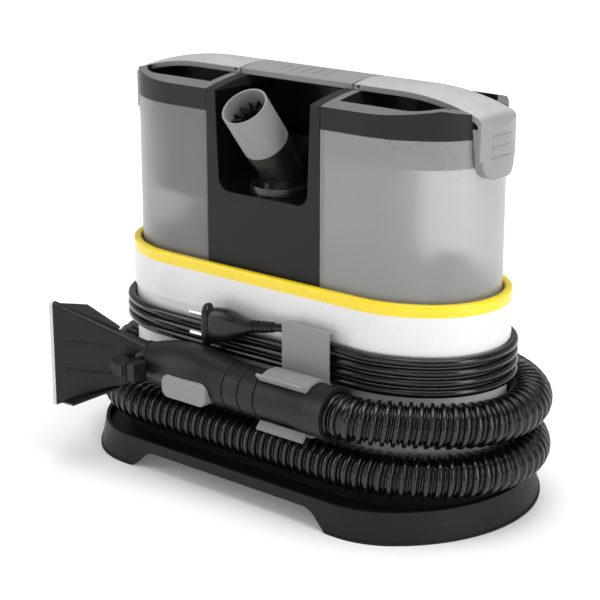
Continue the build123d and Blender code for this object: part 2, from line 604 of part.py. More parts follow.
def hand_tool():
    shell = grip_form(0) - grip_form(tool_wall)
    for i in range(groove_count):
        x = groove_first + groove_spacing * i
        ring = along_x(x - 0.8, x + 0.8, tool_y, tool_z, tool_radius + 2)
        shell -= ring - along_x(x - 1, x + 1, tool_y, tool_z, tool_radius - 0.8)
    pill = side_profile(
        [(trigger_x + sx * (trigger_length / 2 + clearance), trigger_z + sz * (trigger_height / 2 + clearance))
         for sx, sz in ((-1, -1), (1, -1), (1, 1), (-1, 1))], [8.0] * 4, trigger_front - 5, tool_y)
    front = shell & box(-200, 200, tool_y - 60, tool_y, 0, 200)
    back = shell & box(-200, 200, tool_y, tool_y + 60, 0, 200)
    front -= pill
    valve_y = trigger_front + trigger_depth + spring_length
    back += box(trigger_x - 14, trigger_x + 14, valve_y + spray_valve_depth, tool_y + tool_radius + 0.5,
                trigger_z - 3, trigger_z + 3) & grip_form(0.5)
    keep("tool_shell_front", front)
    keep("tool_shell_back", back)

    points = [(trigger_x + sx * trigger_length / 2, trigger_z + sz * trigger_height / 2)
              for sx, sz in ((-1, -1), (1, -1), (1, 1), (-1, 1))]
    button = side_profile(points, [7.7] * 4, trigger_front, trigger_front + trigger_depth)
    button = fillet(button.faces().sort_by(Axis.Y)[0].edges(), 2.5)
    keep("trigger", button)
    spring = along_y(trigger_x, trigger_front + trigger_depth, valve_y, trigger_z, 5)
    spring -= along_y(trigger_x, trigger_front + trigger_depth - 1, valve_y + 1, trigger_z, 3.6)
    keep("trigger_spring", spring)
    valve = box(trigger_x - 12, trigger_x + 12, valve_y, valve_y + spray_valve_depth,
                trigger_z - 7, trigger_z + 7)
    keep("spray_valve", valve)

    flare = clip_right + 1
    cuff_low = Plane(origin=(flare, tool_y, tool_z), z_dir=(1, 0, 0))
    cuff_high = Plane(origin=(cuff_end, tool_y, tool_z), z_dir=(1, 0, 0))
    cuff = loft([cuff_low * Circle(cuff_radius), cuff_high * Circle(cuff_end_radius)])
    cuff += along_x(cuff_start, flare, tool_y, tool_z, cuff_radius)
    cuff -= along_x(cuff_start - 1, cuff_end + 1, tool_y, tool_z, hose_radius + 0.4)
    keep("swivel_cuff", cuff)


def nozzle():
    turn = math.radians(fan_turn)
    reach = Vector(-math.cos(turn), -math.sin(turn), 0)
    start = Vector(neck_x - clearance, tool_y, tool_z)
    half_neck = collar_neck_radius

    def section(distance, height, width, corner):
        station = Plane(origin=start + reach * distance, x_dir=(0, 0, 1), z_dir=reach)
        return station * RectangleRounded(height, width, corner)

    def fan(inset):
        neck = 2 * half_neck - 2 * inset
        sizes = [(6, neck, 20 - 2 * inset, 8 - inset),
                 (34, neck + (mouth_height - 2 * half_neck) * 0.30, 13 - 2 * inset, 5 - inset),
                 (fan_length - lip_length, mouth_height - 2 * inset, mouth_gap - 2 * inset, 2.4 - inset)]
        return loft([section(*size) for size in sizes], ruled=True)

    hood = fan(0)
    hood += along_x(neck_x - 9, neck_x - clearance, tool_y, tool_z, half_neck)
    hood += along_x(neck_x - 5, neck_x + 14, tool_y, tool_z, spigot_radius)
    inside = fan(fan_wall) + along_x(neck_x - 10, neck_x + 15, tool_y, tool_z, spigot_radius - 2)
    hood -= inside
    lug = box(neck_x - 3.5, neck_x - 1, jet_y - 8, tool_y - half_neck + 3, jet_z - 9, jet_z + 9)
    hood += lug - along_x(neck_x - 4, neck_x, jet_y, jet_z, jet_bore)
    spread = math.atan2(mouth_height / 2 - half_neck, fan_length - 6)
    for side in (1, -1):
        face = Polyline((0, 0), (fan_length - lip_length - 34, 0),
                        (fan_length - lip_length - 34 - guard_depth * 0.9, -guard_depth), (0, -6), close=True)
        guard = extrude(make_face(face.edges()), amount=fan_wall / 2, both=True)
        base = start + reach * 34 + Vector(0, 0, side * (half_neck + 34 * math.tan(spread) * 0.86))
        frame = Plane(origin=base, x_dir=reach * math.cos(spread) + Vector(0, 0, side * math.sin(spread)),
                      z_dir=Vector(0, 0, side) * math.cos(spread) - reach * math.sin(spread))
        hood += frame * guard
    keep("nozzle", hood)

    mouth = Plane(origin=start + reach * (fan_length - lip_length), x_dir=(0, 0, 1), z_dir=reach)
    lip = extrude(mouth * RectangleRounded(mouth_height, mouth_gap, 2.0), amount=lip_length)
    lip -= extrude(mouth * RectangleRounded(mouth_height - 4, mouth_gap - 4, 1.0), amount=lip_length)
    keep("nozzle_lip", lip)

    nut_right = neck_x - 3.5 - clearance
    nut = Pos(nut_right, jet_y, jet_z) * Rot(0, -90, 0) * extrude(
        RegularPolygon(nut_across / 2, 6, major_radius=False), amount=nut_length)
    nut -= along_x(nut_right - nut_length - 1, nut_right + 1, jet_y, jet_z, jet_bore)
    keep("jet_nut", nut)
    jet = along_x(nut_right - nut_length - 5, neck_x + 8, jet_y, jet_z, jet_bore - running_fit)
    jet += along_x(nut_right - nut_length - 5, nut_right - nut_length - clearance, jet_y, jet_z, 7)
    jet += box(neck_x - 1 + clearance, neck_x + 9, jet_y - 7, tool_y - tool_radius + 1.2,
               jet_z - 8, jet_z + 8)
    keep("spray_jet", jet)


# Bracket -----------------------------------------------------------------------------------------
def bracket():
    """A spring clip for the handle with a plate above it that holds the coiled cord to the body."""
    width = clip_right - clip_left
    outer = clip_inner + clip_wall
    clip = along_x(clip_left, clip_right, tool_y, tool_z, outer)
    clip -= along_x(clip_left - 1, clip_right + 1, tool_y, tool_z, clip_inner)
    mouth = [(tool_y, tool_z)]
    for sign in (1, -1):
        angle = math.radians(clip_turn)
        mouth.append((tool_y + 60 * math.cos(angle), tool_z + sign * 60 * math.sin(angle)))
    gap = Polyline(*[(clip_left - 1, y, z) for y, z in mouth], close=True)
    clip -= extrude(make_face(gap.edges()), amount=width + 2, dir=(1, 0, 0))
    middle = (clip_inner + outer) / 2
    for sign in (1, -1):
        angle = math.radians(clip_turn)
        y = tool_y + middle * math.cos(angle)
        z = tool_z + sign * middle * math.sin(angle)
        lip = Box(width, 8.5, clip_wall)
        clip += Pos((clip_left + clip_right) / 2, y - 3.0, z + sign * -2.2 + sign * 4.2) * Rot(
            -sign * 45, 0, 0) * lip
    root = tool_z + math.sqrt(middle ** 2 - (plate_y - clip_wall / 2 - tool_y) ** 2)
    clip += box(clip_left, clip_right, plate_y - clip_wall, plate_y, root - 1, plate_top)
    clip += box(clip_left, clip_right, plate_y - clip_wall, plate_y + 4.5, plate_top - 1.8, plate_top)
    wall_y = -body_width / 2 - waist_offset
    clip += box(clip_left + 2, clip_right - 2, tool_y + outer - 1.2, wall_y, tool_z - 14, tool_z + 12)
    for x in bracket_screw_x:
        clip -= along_y(x, tool_y + 10, wall_y + 1, tool_z, screw_radius)
    keep("storage_bracket", clip)
    screws = [along_y(x, tool_y + outer - clip_wall - 0.1, wall_y + 7, tool_z, screw_radius - 0.01)
              for x in bracket_screw_x]
    keep("bracket_screws", Compound(children=screws))


# Hose and mains cord -----------------------------------------------------------------------------
def end_corners(offset, heights, side, first_y):
    """Four corner points round one end of the body, on a line at offset from the waist wall."""
    shoulder = body_shoulder + waist_offset + offset
    turn = math.radians(end_turn)
    half = body_width / 2 + waist_offset + offset
    tip = shoulder + (half - shoulder) / math.sin(turn)
    far = body_length / 2 + waist_offset + offset
    start = far - tip + (tip - shoulder) * math.cos(turn)
    near_x = start + shoulder * math.tan((math.pi / 2 - turn) / 2)
    tip_y = tip * math.tan(turn / 2)
    places = [(near_x, half), (far, tip_y), (far, -tip_y), (near_x, -half)]
    if first_y < 0:
        places.reverse()
    points = [(side * x, y, z) for (x, y), z in zip(places, heights)]
    radii = [shoulder * 0.96, tip * 0.96, tip * 0.96, shoulder * 0.96]
    return points, radii


def hose():
    points = [(cuff_start + 12, tool_y, tool_z)]
    radii = []
    first_y = tool_y
    high, low = [hose_high] * 4, [hose_low] * 4
    fall = [hose_high, hose_high - 14, hose_low + 14, hose_low]
    for heights, side, first in ((high, 1, -1), (fall, -1, 1), (low, 1, -1)):
        corner_points, corner_radii = end_corners(hose_offset, heights, side, first)
        points += corner_points
        radii += corner_radii
    points.append((hose_end_x, points[-1][1], hose_low))
    slope = (points[2][0] - points[1][0]) / (points[2][1] - points[1][1])
    points[1] = (points[1][0] + (first_y - points[1][1]) * slope, first_y, tool_z)
    radii[0] = first_bend_radius
    route = FilletPolyline(*points, radius=radii)
    section = Plane(origin=points[0], z_dir=route.edges()[0] % 0)
    tube = sweep(section * Circle(hose_radius), path=route)
    hollow = sweep(section * Circle(hose_bore), path=route)
    tube -= hollow
    area = math.pi * (hose_radius ** 2 - hose_bore ** 2)
    print("hose length", round(route.length), "radii", [round(r) for r in radii],
          "volume share", round(tube.volume / (area * route.length), 4))
    keep("hose", tube)

    y, wall_y = points[-1][1], body_width / 2 + waist_offset
    left, right = -socket_reach, hose_end_x + socket_depth
    joint = along_x(left, right, y, hose_low, hose_radius + wall)
    joint -= along_x(hose_end_x, right + 1, y, hose_low, hose_radius + 0.1)
    joint -= along_x(left + 2 * wall, hose_end_x + 1, y, hose_low, hose_bore)
    joint &= box(left - 1, right + 1, wall_y, y + 2 * hose_radius, hose_low - 2 * hose_radius,
                 hose_low + 2 * hose_radius)
    joint -= slab(plinth_offset + clearance, 0, plinth_top + clearance)
    joint += Pos(0, wall_y + 2, hose_low) * Rot(90, 0, 0) * Cylinder(hose_bore - 2.1, 12)
    joint -= Pos(0, wall_y + 2, hose_low) * Rot(90, 0, 0) * Cylinder(hose_bore - 4.5, 16)
    keep("hose_connector", joint)


def cord_radii(points):
    """The largest arc that each corner's two runs allow."""
    vectors = [Vector(*p) for p in points]
    radii = []
    for a, b, c in zip(vectors, vectors[1:], vectors[2:]):
        half_turn = math.radians((b - a).get_angle(c - b)) / 2
        radii.append(0.45 * min((b - a).length, (c - b).length) / math.tan(half_turn))
    return radii


def cord_tube(name, points):
    radii = cord_radii(points)
    route = FilletPolyline(*points, radius=radii)
    section = Plane(origin=points[0], z_dir=route.edges()[0] % 0)
    tube = sweep(section * Circle(cord_diameter / 2), path=route)
    area = math.pi * cord_diameter ** 2 / 4
    print(name, "length", round(route.length, 1), "radii", [round(r) for r in radii],
          "volume share", round(tube.volume / (area * route.length), 4))
    keep(name, tube)


def mains_cord():
    bottom, top = cord_first - cord_diameter / 2, cord_last + cord_diameter / 2
    ledge = top - cord_pitch
    inner = waist_offset + cord_gap
    band = slab(inner + cord_diameter, bottom, top) - slab(inner, bottom, top)
    ends = ((86, -1), (-42, 1))
    for x, side in ends:
        band -= box(-body_length, x, min(0, side * body_width), max(0, side * body_width), ledge, top + 1)
    keep("cord_coil", band)

    cord_tube("cord_tail_plug", [(29, -87.6, 154.2), (47, -82.2, 155.3), (66, -81.4, 153.4),
                                 (ends[0][0], -81.6, 147)])
    spout_end, spout_y, spout_z = grommet_x + spout_length, body_width / 2 + spout_proud, grommet_z - spout_drop
    cord_tube("cord_tail_rear", [(spout_end, spout_y, spout_z), (-72.5, 84, 162), (-57, 82.8, 155.2),
                                 (ends[1][0], 81.8, 147.5)])

    boss = Pos(grommet_x, 0, grommet_z) * Rot(90, 0, 0) * Cylinder(grommet_radius - 0.1, 20)
    boss = Pos(0, body_width / 2 + 2, 0) * boss
    boss += along_x(grommet_x - spout_radius, spout_end, spout_y, spout_z, spout_radius)
    reach = 2 * grommet_radius
    keep("cord_grommet", boss & box(grommet_x - reach, grommet_x + reach, body_width / 2 - reach,
                                    body_width / 2 + reach, grommet_z - reach, grommet_z + reach))


def plug():
    middle_y, flange_x, centre_z = -(body_width / 2 + plug_proud), plug_flange_x, waist_top - plug_drop
    outline = [(flange_x, centre_z - 20), (flange_x, centre_z + 18), (-20, centre_z + 20.5),
               (-6, centre_z + 15), (6, centre_z + 11), (6, centre_z - 2), (-4, centre_z - 13),
               (-22, centre_z - 20)]
    body = side_profile(outline, [3, 3, 10, 8, 2, 3, 8, 8], middle_y - plug_half_thickness,
                        middle_y + plug_half_thickness)
    flange = side_profile([(flange_x, centre_z - 20), (flange_x, centre_z + 20),
                           (flange_x + 9, centre_z + 20), (flange_x + 9, centre_z - 20)],
                          [1.5, 1.5, 1.5, 1.5], middle_y - plug_half_thickness - 1.6,
                          middle_y + plug_half_thickness + 1.6)
    body += flange
    body = fillet(body.faces().sort_by(Axis.Y)[0].edges(), 1.2)
    keep("plug_body", body)
    pins = [along_x(flange_x - 17, flange_x, middle_y, centre_z + s * 9.5 - 5, 2.4) for s in (1, -1)]
    keep("plug_pins", Compound(children=pins))
    start, end = Vector(6, middle_y, centre_z + 5), Vector(29, -87.6, 154.2)
    plane = Plane(origin=start, z_dir=end - start)
    length = (end - start).length
    relief = extrude(plane * Circle(5.8), amount=length, taper=2.5)
    for i in range(4):
        ring = Pos(0, 0, 6 + 4.5 * i) * (Cylinder(8, 1.6) - Cylinder(4.6, 2))
        relief -= plane * ring
    keep("plug_strain_relief", relief)


# Inside the body ---------------------------------------------------------------------------------
def motor():
    bottom = plinth_top + clearance
    casing = post(motor_x, 0, motor_casing_radius, bottom, motor_casing_top)
    casing += post(motor_x, 0, motor_can_radius, motor_casing_top - 1, motor_top)
    casing -= post(motor_x, 0, motor_casing_radius - 3, bottom + 4, motor_casing_top - 3)
    casing -= post(motor_x, 0, motor_can_radius - 3, motor_casing_top - 5, motor_top - 4)
    casing += post(motor_x, 0, shaft_radius + 4, bottom, bottom + 10)
    casing -= post(motor_x, 0, shaft_radius + running_fit, bottom + 2, motor_top + 1)
    for turn in range(0, 360, 45):
        spot = Pos(motor_x, 0, 0) * Rot(0, 0, turn) * Pos(motor_can_radius / 2 + 4, 0, motor_top)
        casing -= spot * Cylinder(6, 12)
    keep("motor_housing", casing)
    rotor = post(motor_x, 0, shaft_radius, bottom + 2.3, motor_top - 1)
    rotor += post(motor_x, 0, motor_casing_radius - 8, bottom + 14, bottom + 16)
    rotor += post(motor_x, 0, shaft_radius + 6, bottom + 12, bottom + 30)
    for turn in range(0, 360, 30):
        blade = Rot(0, 0, turn) * Pos(30, 4, 0) * Rot(0, 0, 20) * Box(36, 1.6, 14)
        rotor += Pos(motor_x, 0, bottom + 22.5) * blade
    rotor += post(motor_x, 0, motor_can_radius - 12, motor_casing_top + 6, motor_top - 14)
    keep("motor_rotor", rotor)
    duct = post(motor_x, 0, duct_radius, motor_top + clearance, deck_top)
    duct -= post(motor_x, 0, duct_radius - 2, motor_top, deck_top + 1)
    keep("air_duct", duct)


def pump():
    bottom = plinth_top + clearance
    left, right = pump_x - pump_length / 2, pump_x + pump_length / 2
    body = box(left, right, pump_y - pump_width / 2, pump_y + pump_width / 2, bottom, bottom + pump_height)
    body = fillet(body.edges().filter_by(Axis.X), 8.0)
    axis_z = bottom + pump_height / 2
    body -= along_x(left + 4, right - 3, pump_y, axis_z, 14)
    body -= along_x(right - 4, right + 1, pump_y, axis_z, plunger_radius + running_fit)
    keep("pump_body", body)
    plunger = along_x(left + 8, right + 6, pump_y, axis_z, plunger_radius)
    plunger += along_x(left + 10, left + 26, pump_y, axis_z, 11)
    keep("pump_plunger", plunger)
    board_bottom = bottom + 8
    board = box(board_x - board_length / 2, board_x + board_length / 2, board_y - board_width / 2 + 6,
                board_y + board_width / 2 - 10, board_bottom, board_bottom + 1.6)
    for sx in (1, -1):
        for sy in (-14, 10):
            board += post(board_x + sx * (board_length / 2 - 5), board_y + sy, 3, bottom, board_bottom + 1)
    board += box(board_x - 25, board_x - 5, board_y - 12, board_y + 6, board_bottom + 1, board_bottom + 22)
    board += post(board_x + 18, board_y - 2, 7, board_bottom + 1, board_bottom + 26)
    keep("control_board", board)


base_tray()
body_shell()
trim_ring()
tower()
back_cover()
centre_handle()
tanks()
waste_separator()
outlet_valve()
elbow()
hand_tool()
nozzle()
bracket()
hose()
mains_cord()
plug()
motor()
pump()

os.makedirs("parts", exist_ok=True)
for node, shape in parts.items():
    export_step(shape, os.path.join("parts", node + ".step"))
print(len(parts), "nodes")
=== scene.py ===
import math
import bpy
import numpy as np
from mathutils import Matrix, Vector


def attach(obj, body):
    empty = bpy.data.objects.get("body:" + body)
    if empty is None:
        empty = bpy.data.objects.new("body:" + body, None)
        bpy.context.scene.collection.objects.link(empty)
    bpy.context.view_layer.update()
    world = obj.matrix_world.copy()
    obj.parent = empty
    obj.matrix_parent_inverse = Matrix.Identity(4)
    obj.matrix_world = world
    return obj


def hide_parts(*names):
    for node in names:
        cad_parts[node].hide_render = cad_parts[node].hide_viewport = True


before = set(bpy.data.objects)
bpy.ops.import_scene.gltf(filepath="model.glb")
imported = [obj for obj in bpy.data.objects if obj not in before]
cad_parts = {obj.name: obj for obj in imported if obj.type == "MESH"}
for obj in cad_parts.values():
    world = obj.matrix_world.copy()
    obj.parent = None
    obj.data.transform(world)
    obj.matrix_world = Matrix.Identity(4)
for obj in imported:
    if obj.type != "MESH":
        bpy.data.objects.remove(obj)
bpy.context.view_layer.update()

scene = bpy.context.scene


# ---- Camera, floor and soft boxes ----------------------------------------------------------------
# A studio table under a long lens, a little above the tanks, with a pale floor that glows as
# painted light and glows less round the machine as a painted shadow.
# One soft box hangs over the machine, one stands at each side and a weak one stands before it.
lens = bpy.data.cameras.new("studio_camera")
lens.lens, lens.sensor_width = 102.79, 36.0
lens.clip_start, lens.clip_end = 0.05, 60.0
camera = bpy.data.objects.new("studio_camera", lens)
camera.location = (0.94175, -1.12996, 0.60411)
camera.rotation_mode = "QUATERNION"
camera.rotation_quaternion = Vector((-0.61803, 0.72922, -0.29374)).to_track_quat("-Z", "Y")
scene.collection.objects.link(camera)
scene.camera = camera
scene.view_settings.view_transform = "Standard"

world = bpy.data.worlds.new("studio_air")
scene.world = world
world.use_nodes = True
world.node_tree.nodes["Background"].inputs["Color"].default_value = (1.0, 1.0, 1.0, 1.0)
world.node_tree.nodes["Background"].inputs["Strength"].default_value = 0.36


def soft_box(name, place, aim, width, height, power):
    lamp = bpy.data.lights.new(name, "AREA")
    lamp.shape, lamp.size, lamp.size_y, lamp.energy = "RECTANGLE", width, height, power
    holder = bpy.data.objects.new(name, lamp)
    holder.location = place
    holder.rotation_mode = "QUATERNION"
    holder.rotation_quaternion = (Vector(aim) - Vector(place)).to_track_quat("-Z", "Y")
    scene.collection.objects.link(holder)


soft_box("box_over", (0.1, 0.1, 2.1), (0, 0, 0.15), 2.0, 1.5, 36)
soft_box("box_left", (-1.7, -1.5, 1.0), (0, 0, 0.2), 0.9, 1.5, 12)
soft_box("box_right", (2.0, -0.1, 0.9), (0, 0, 0.2), 0.7, 1.5, 17)
soft_box("box_front", (0.5, -2.2, 0.7), (0, 0, 0.15), 1.1, 0.7, 4)


class Reading:
    """The output of a shader node, which can be added, taken away and multiplied."""

    def __init__(self, finish, socket):
        self.finish, self.socket = finish, socket

    def reckon(self, operation, first, second):
        return self.finish.node("ShaderNodeMath", {"operation": operation}, {0: first, 1: second})

    def __add__(self, other):
        return self.reckon("ADD", self, other)

    def __sub__(self, other):
        return self.reckon("SUBTRACT", self, other)

    def __rsub__(self, other):
        return self.reckon("SUBTRACT", other, self)

    def __mul__(self, other):
        return self.reckon("MULTIPLY", self, other)

    __radd__, __rmul__ = __add__, __mul__


class Finish:
    """A material: steady values on its shader, and what varies wired to its sockets."""

    def __init__(self, name, **steady):
        self.material = bpy.data.materials.new(name)
        self.material.use_nodes = True
        self.tree = self.material.node_tree
        self.shader = self.tree.nodes["Principled BSDF"]
        for socket, value in steady.items():
            self.shader.inputs[socket.replace("_", " ")].default_value = value

    def node(self, kind, settings=None, sockets=None, out=0):
        made = self.tree.nodes.new(kind)
        for key, value in (settings or {}).items():
            setattr(made, key, value)
        for key, value in (sockets or {}).items():
            if isinstance(value, Reading):
                self.tree.links.new(value.socket, made.inputs[key])
            else:
                made.inputs[key].default_value = value
        return Reading(self, made.outputs[out])

    def place(self):
        return self.node("ShaderNodeTexCoord", out="Object")

    def along(self, axis):
        return self.node("ShaderNodeSeparateXYZ", None, {"Vector": self.place()}, axis)

    def facing(self, axis):
        normal = self.node("ShaderNodeTexCoord", out="Normal")
        return self.node("ShaderNodeSeparateXYZ", None, {"Vector": normal}, axis)

    def cloud(self, scale, detail=3.0, rough=0.55, stretch=(1, 1, 1)):
        where = self.node("ShaderNodeMapping", None, {"Vector": self.place(), "Scale": stretch})
        return self.node("ShaderNodeTexNoise", None,
                         {"Vector": where, "Scale": scale, "Detail": detail, "Roughness": rough})

    def between(self, reading, low, high, start=0.0, end=1.0):
        return self.node("ShaderNodeMapRange", {"interpolation_type": "SMOOTHSTEP"},
                         {"Value": reading, "From Min": low, "From Max": high,
                          "To Min": start, "To Max": end})

    def mix(self, share, first, second):
        # The colour sockets of this node share their names with others, so they go by number.
        return self.node("ShaderNodeMix", {"data_type": "RGBA"}, {0: share, 6: first, 7: second}, 2)

    def wire(self, socket, reading):
        self.tree.links.new(reading.socket, self.shader.inputs[socket])

    def sheen(self, tone, smooth, rough):
        """A roughness that follows a cloud over the range that most of it lies in."""
        return self.between(tone, 0.3, 0.7, smooth, rough)

    def tint(self, tone, dark, light, smooth, rough):
        """Colour and roughness that change together with one cloud."""
        self.wire("Base Color", self.mix(tone, dark, light))
        self.wire("Roughness", self.sheen(tone, smooth, rough))

    def relief(self, height, depth, strength=1.0, rounded=0.0):
        sockets = {"Height": height, "Distance": depth, "Strength": strength}
        if rounded:
            sockets["Normal"] = self.node("ShaderNodeBevel", {"samples": 4}, {"Radius": rounded})
        self.wire("Normal", self.node("ShaderNodeBump", None, sockets))


def grey(level, warmth=0.0):
    return (level * (1 + warmth), level, level * (1 - warmth), 1.0)


floor_finish = Finish("pale_floor", Roughness=0.75, IOR=1.3, Emission_Strength=0.7)
# The floor's glow is painted light; it falls from full at 1.5 m to 0.16 at 0.3 m from the middle, a
# painted shadow round the machine.
outward = floor_finish.node("ShaderNodeVectorMath", {"operation": "LENGTH"},
                            {0: floor_finish.place()}, "Value")
glow_start, glow_full = 0.30, 1.5
glow = floor_finish.between(outward, glow_start, glow_full)
floor_finish.wire("Emission Color", floor_finish.mix(glow, grey(0.16), grey(1.0)))
floor_finish.wire("Base Color", floor_finish.mix(floor_finish.cloud(3.0), grey(0.90), grey(0.925)))
floor_finish.relief(floor_finish.cloud(220.0), 0.0001)
sweep = bpy.data.meshes.new("floor")
reach = 9
sweep.from_pydata([(-reach, -reach, 0), (reach, -reach, 0), (reach, reach, 0), (-reach, reach, 0)],
                  [], [(0, 1, 2, 3)])
sweep.materials.append(floor_finish.material)
floor = bpy.data.objects.new("floor", sweep)
scene.collection.objects.link(floor)


# ---- Suction hose --------------------------------------------------------------------------------
# A blow-moulded hose with one wide crest and one thin rib winding round it in step. It starts in
# the cuff of the hand tool, lies twice round the body and ends in the socket at the back.
def smooth_line(name, points, fineness):
    curve = bpy.data.curves.new(name, "CURVE")
    curve.dimensions = "3D"
    spline = curve.splines.new("NURBS")
    spline.points.add(len(points) - 1)
    for point, place in zip(spline.points, points):
        point.co = (*place, 1.0)
    spline.order_u = 3
    spline.use_endpoint_u = True
    curve.resolution_u = fineness
    return bpy.data.objects.new(name, curve)


def points_on(line):
    mesh = bpy.data.meshes.new_from_object(line)
    places = np.array([v.co for v in mesh.vertices], float)
    bpy.data.meshes.remove(mesh)
    return places


def to_object(name, verts, faces, finish, body):
    mesh = bpy.data.meshes.new(name)
    mesh.from_pydata([tuple(map(float, v)) for v in verts], [], faces)
    mesh.shade_smooth()
    mesh.materials.append(finish.material)
    piece = bpy.data.objects.new(name, mesh)
    scene.collection.objects.link(piece)
    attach(piece, body)
    return piece


hose_route = [
    (0.0923, -0.1045, 0.1), (0.110, -0.1045, 0.1), (0.1402, -0.1045, 0.1),
    (0.2155, -0.0413, 0.095), (0.2155, 0.0413, 0.095), (0.15095, 0.0955, 0.095),
    (0.0663, 0.0955, 0.095), (-0.0663, 0.0955, 0.095), (-0.15095, 0.0955, 0.095),
    (-0.2155, 0.0413, 0.081), (-0.2155, -0.0413, 0.0668), (-0.15095, -0.0955, 0.0528),
    (-0.0663, -0.0955, 0.0528), (0.0663, -0.0955, 0.0528), (0.15095, -0.0955, 0.0528),
    (0.2155, -0.0413, 0.0528), (0.2155, 0.0413, 0.0528), (0.15095, 0.0955, 0.0528),
    (0.084, 0.0956, 0.0528), (0.046, 0.0955, 0.0528)]
hose_pitch, hose_sides, path_points = 0.0088, 48, 700
# Across one turn of the moulding: the share of the pitch, then the radius in millimetres.
hose_profile = [(0.0, 15.4), (0.05, 17.6), (0.10, 18.7), (0.17, 19.0), (0.33, 19.0), (0.41, 18.75),
                (0.46, 17.7), (0.50, 15.4), (0.56, 15.2), (0.61, 15.6), (0.66, 17.0), (0.71, 17.5),
                (0.77, 17.1), (0.82, 15.6), (0.88, 15.2), (0.95, 15.2)]
hose_middle = points_on(smooth_line("hose_middle", hose_route, 40))
hose_far = np.concatenate([[0], np.cumsum(np.linalg.norm(np.diff(hose_middle, axis=0), axis=1))])
hose_length = hose_far[-1]


def hose_at(distance):
    """Places on the hose's middle line, and the directions across it, level and upward."""
    def at(far):
        return np.stack([np.interp(far, hose_far, hose_middle[:, k]) for k in range(3)], -1)

    step = 0.003
    run = at(distance + step) - at(distance - step)
    run /= np.linalg.norm(run, axis=-1, keepdims=True)
    level = np.cross(run, np.array([0.0, 0.0, 1.0]))
    level /= np.linalg.norm(level, axis=-1, keepdims=True)
    return at(distance), level, np.cross(level, run)


turns = int(hose_length / hose_pitch) - 1
shares = np.array([p[0] for p in hose_profile])
radii = np.tile(np.array([p[1] for p in hose_profile]) / 1000, turns)
ring_starts = (np.repeat(np.arange(turns), len(hose_profile)) + np.tile(shares, turns)) * hose_pitch
sides = np.arange(hose_sides)
distance = ring_starts[:, None] + hose_pitch * sides[None, :] / hose_sides
place, level, upward = hose_at(distance)
angle = 2 * math.pi * sides / hose_sides
skin = place + radii[:, None, None] * (np.cos(angle)[None, :, None] * level
                                       + np.sin(angle)[None, :, None] * upward)
rings, per_turn = len(radii), len(hose_profile)
# Each ring's last side goes on to the first side of the ring one whole turn later.
hose_faces = []
for i in range(rings - 1):
    for j in range(hose_sides - 1):
        a = i * hose_sides + j
        hose_faces.append((a, a + 1, a + 1 + hose_sides, a + hose_sides))
for i in range(rings - 1 - per_turn):
    a, b = (i + per_turn) * hose_sides, i * hose_sides + hose_sides - 1
    hose_faces.append((b, a, a + hose_sides, b + hose_sides))

hose_finish = Finish("hose_moulding", IOR=1.5, Specular_IOR_Level=0.4, Coat_Weight=0.25,
                     Coat_Roughness=0.08)
film = hose_finish.cloud(60.0, 4.0)
hose_finish.tint(film, grey(0.003), grey(0.006), 0.14, 0.24)
hose_finish.relief(hose_finish.cloud(300.0, 2.0), 0.00006, 0.5)
hose = to_object("suction_hose", skin.reshape(-1, 3), hose_faces, hose_finish, "machine")
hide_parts("hose")
hose_path = hose_at(np.linspace(0, hose_length, path_points))[0]


# ---- Mains cord ----------------------------------------------------------------------------------
# A round two-core lead in a glossy sheath. It leaves the grommet at the back, comes down over the
# turns, lies nearly three and a half times round the waist and ends at the plug on the front.
cord_points = [
    (-0.0855, 0.0845, 0.1643), (-0.0725, 0.0840, 0.162), (-0.057, 0.0850, 0.1562),
    (-0.040, 0.0876, 0.1497), (-0.020, 0.0884, 0.1430), (0.002, 0.0885, 0.1355),
    (0.024, 0.0885, 0.1285), (0.046, 0.0884, 0.1232), (0.067, 0.0872, 0.1204),
    (0.088, 0.0835, 0.1194), (0.107, 0.0806, 0.1194)]


def bend_points(middle, radius, angles):
    """Points a little outside a bend of the waist, so that the lead's smooth line lies on it."""
    return [(middle[0] + radius * math.cos(math.radians(a)),
             middle[1] + radius * math.sin(math.radians(a))) for a in angles]


corner_x, corner_y, corner_radius, end_x, end_radius = 0.1080, 0.0225, 0.10434, 0.1269, 0.07516
near_bends = (bend_points((corner_x, -corner_y), corner_radius, (80, 60))
              + bend_points((end_x, 0), end_radius, (37.5, 12.5, -12.5, -37.5))
              + bend_points((corner_x, corner_y), corner_radius, (-60, -80)))
far_bends = [(-x, -y) for x, y in near_bends]
whole_turns, lowest_turn, lead_pitch = 3, 0.1194, 0.0088
sway, wander, loose = 0.0004, 0.0006, 1.004
for turn in range(whole_turns):
    height = lowest_turn + lead_pitch * turn
    slack = sway * math.sin(2.1 * turn + 0.7)
    cord_points += [(x, y, height) for x, y in near_bends]
    cord_points += [(0.0899, -0.08025, height), (0.030, -0.08035 - slack, height + slack),
                    (-0.030, -0.0802, height - slack), (-0.0899, -0.08025, height)]
    cord_points += [
        (x * (loose + 0.5 * slack), y * loose, height + wander * math.sin(1.7 * i + turn))
        for i, (x, y) in enumerate(far_bends)]
    cord_points += [(-0.0899, 0.08025, height), (0.0899, 0.08025, height + lead_pitch)]
cord_points += [(x, y, lowest_turn + lead_pitch * whole_turns) for x, y in near_bends]
cord_points += [(0.1075, -0.0806, 0.1461), (0.086, -0.0816, 0.1478), (0.066, -0.0816, 0.1534),
                (0.047, -0.0826, 0.1553), (0.029, -0.0876, 0.1542)]
mains = smooth_line("mains_lead", cord_points, 14)
lead_radius = 0.00375
mains.data.bevel_depth, mains.data.bevel_resolution = lead_radius, 5
sheath = Finish("lead_sheath", IOR=1.5, Specular_IOR_Level=0.4, Coat_Weight=0.15,
                Coat_Roughness=0.1)
sheath_film = sheath.cloud(90.0, 3.0)
sheath.tint(sheath_film, grey(0.003), grey(0.006), 0.18, 0.26)
sheath.relief(sheath.cloud(300.0, 2.0), 0.00004, 0.4)
mains.data.materials.append(sheath.material)
scene.collection.objects.link(mains)
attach(mains, "machine")
